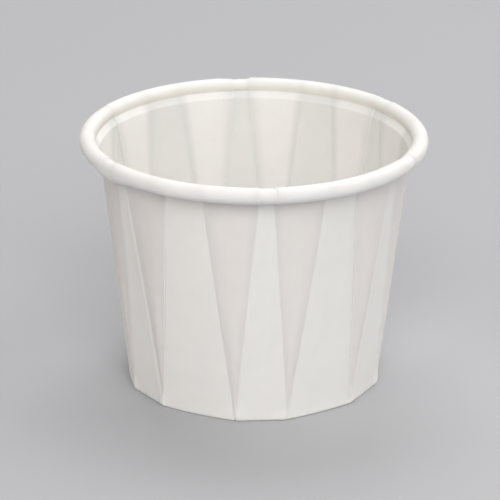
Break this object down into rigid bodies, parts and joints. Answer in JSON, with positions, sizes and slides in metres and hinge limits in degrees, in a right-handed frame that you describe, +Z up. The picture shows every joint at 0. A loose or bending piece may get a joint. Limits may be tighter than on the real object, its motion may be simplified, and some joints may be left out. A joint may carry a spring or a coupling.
{
  "type": "paper souffle cup",
  "caption": "A small white pleated paper cup with a tapered wall of folded panels, a flat base and a rolled rim.",
  "frame": {"origin": "middle of the base, on the surface that the cup stands on", "axes": "+Z up along the cup's axis; -Y towards the viewer, through the middle of a raised panel"},
  "size_m": [0.043, 0.043, 0.032],
  "materials": {
    "paper": "matt with a faint sheen"
  },
  "bodies": {
    "root": {"cup": "paper"}
  },
  "joints": []
}
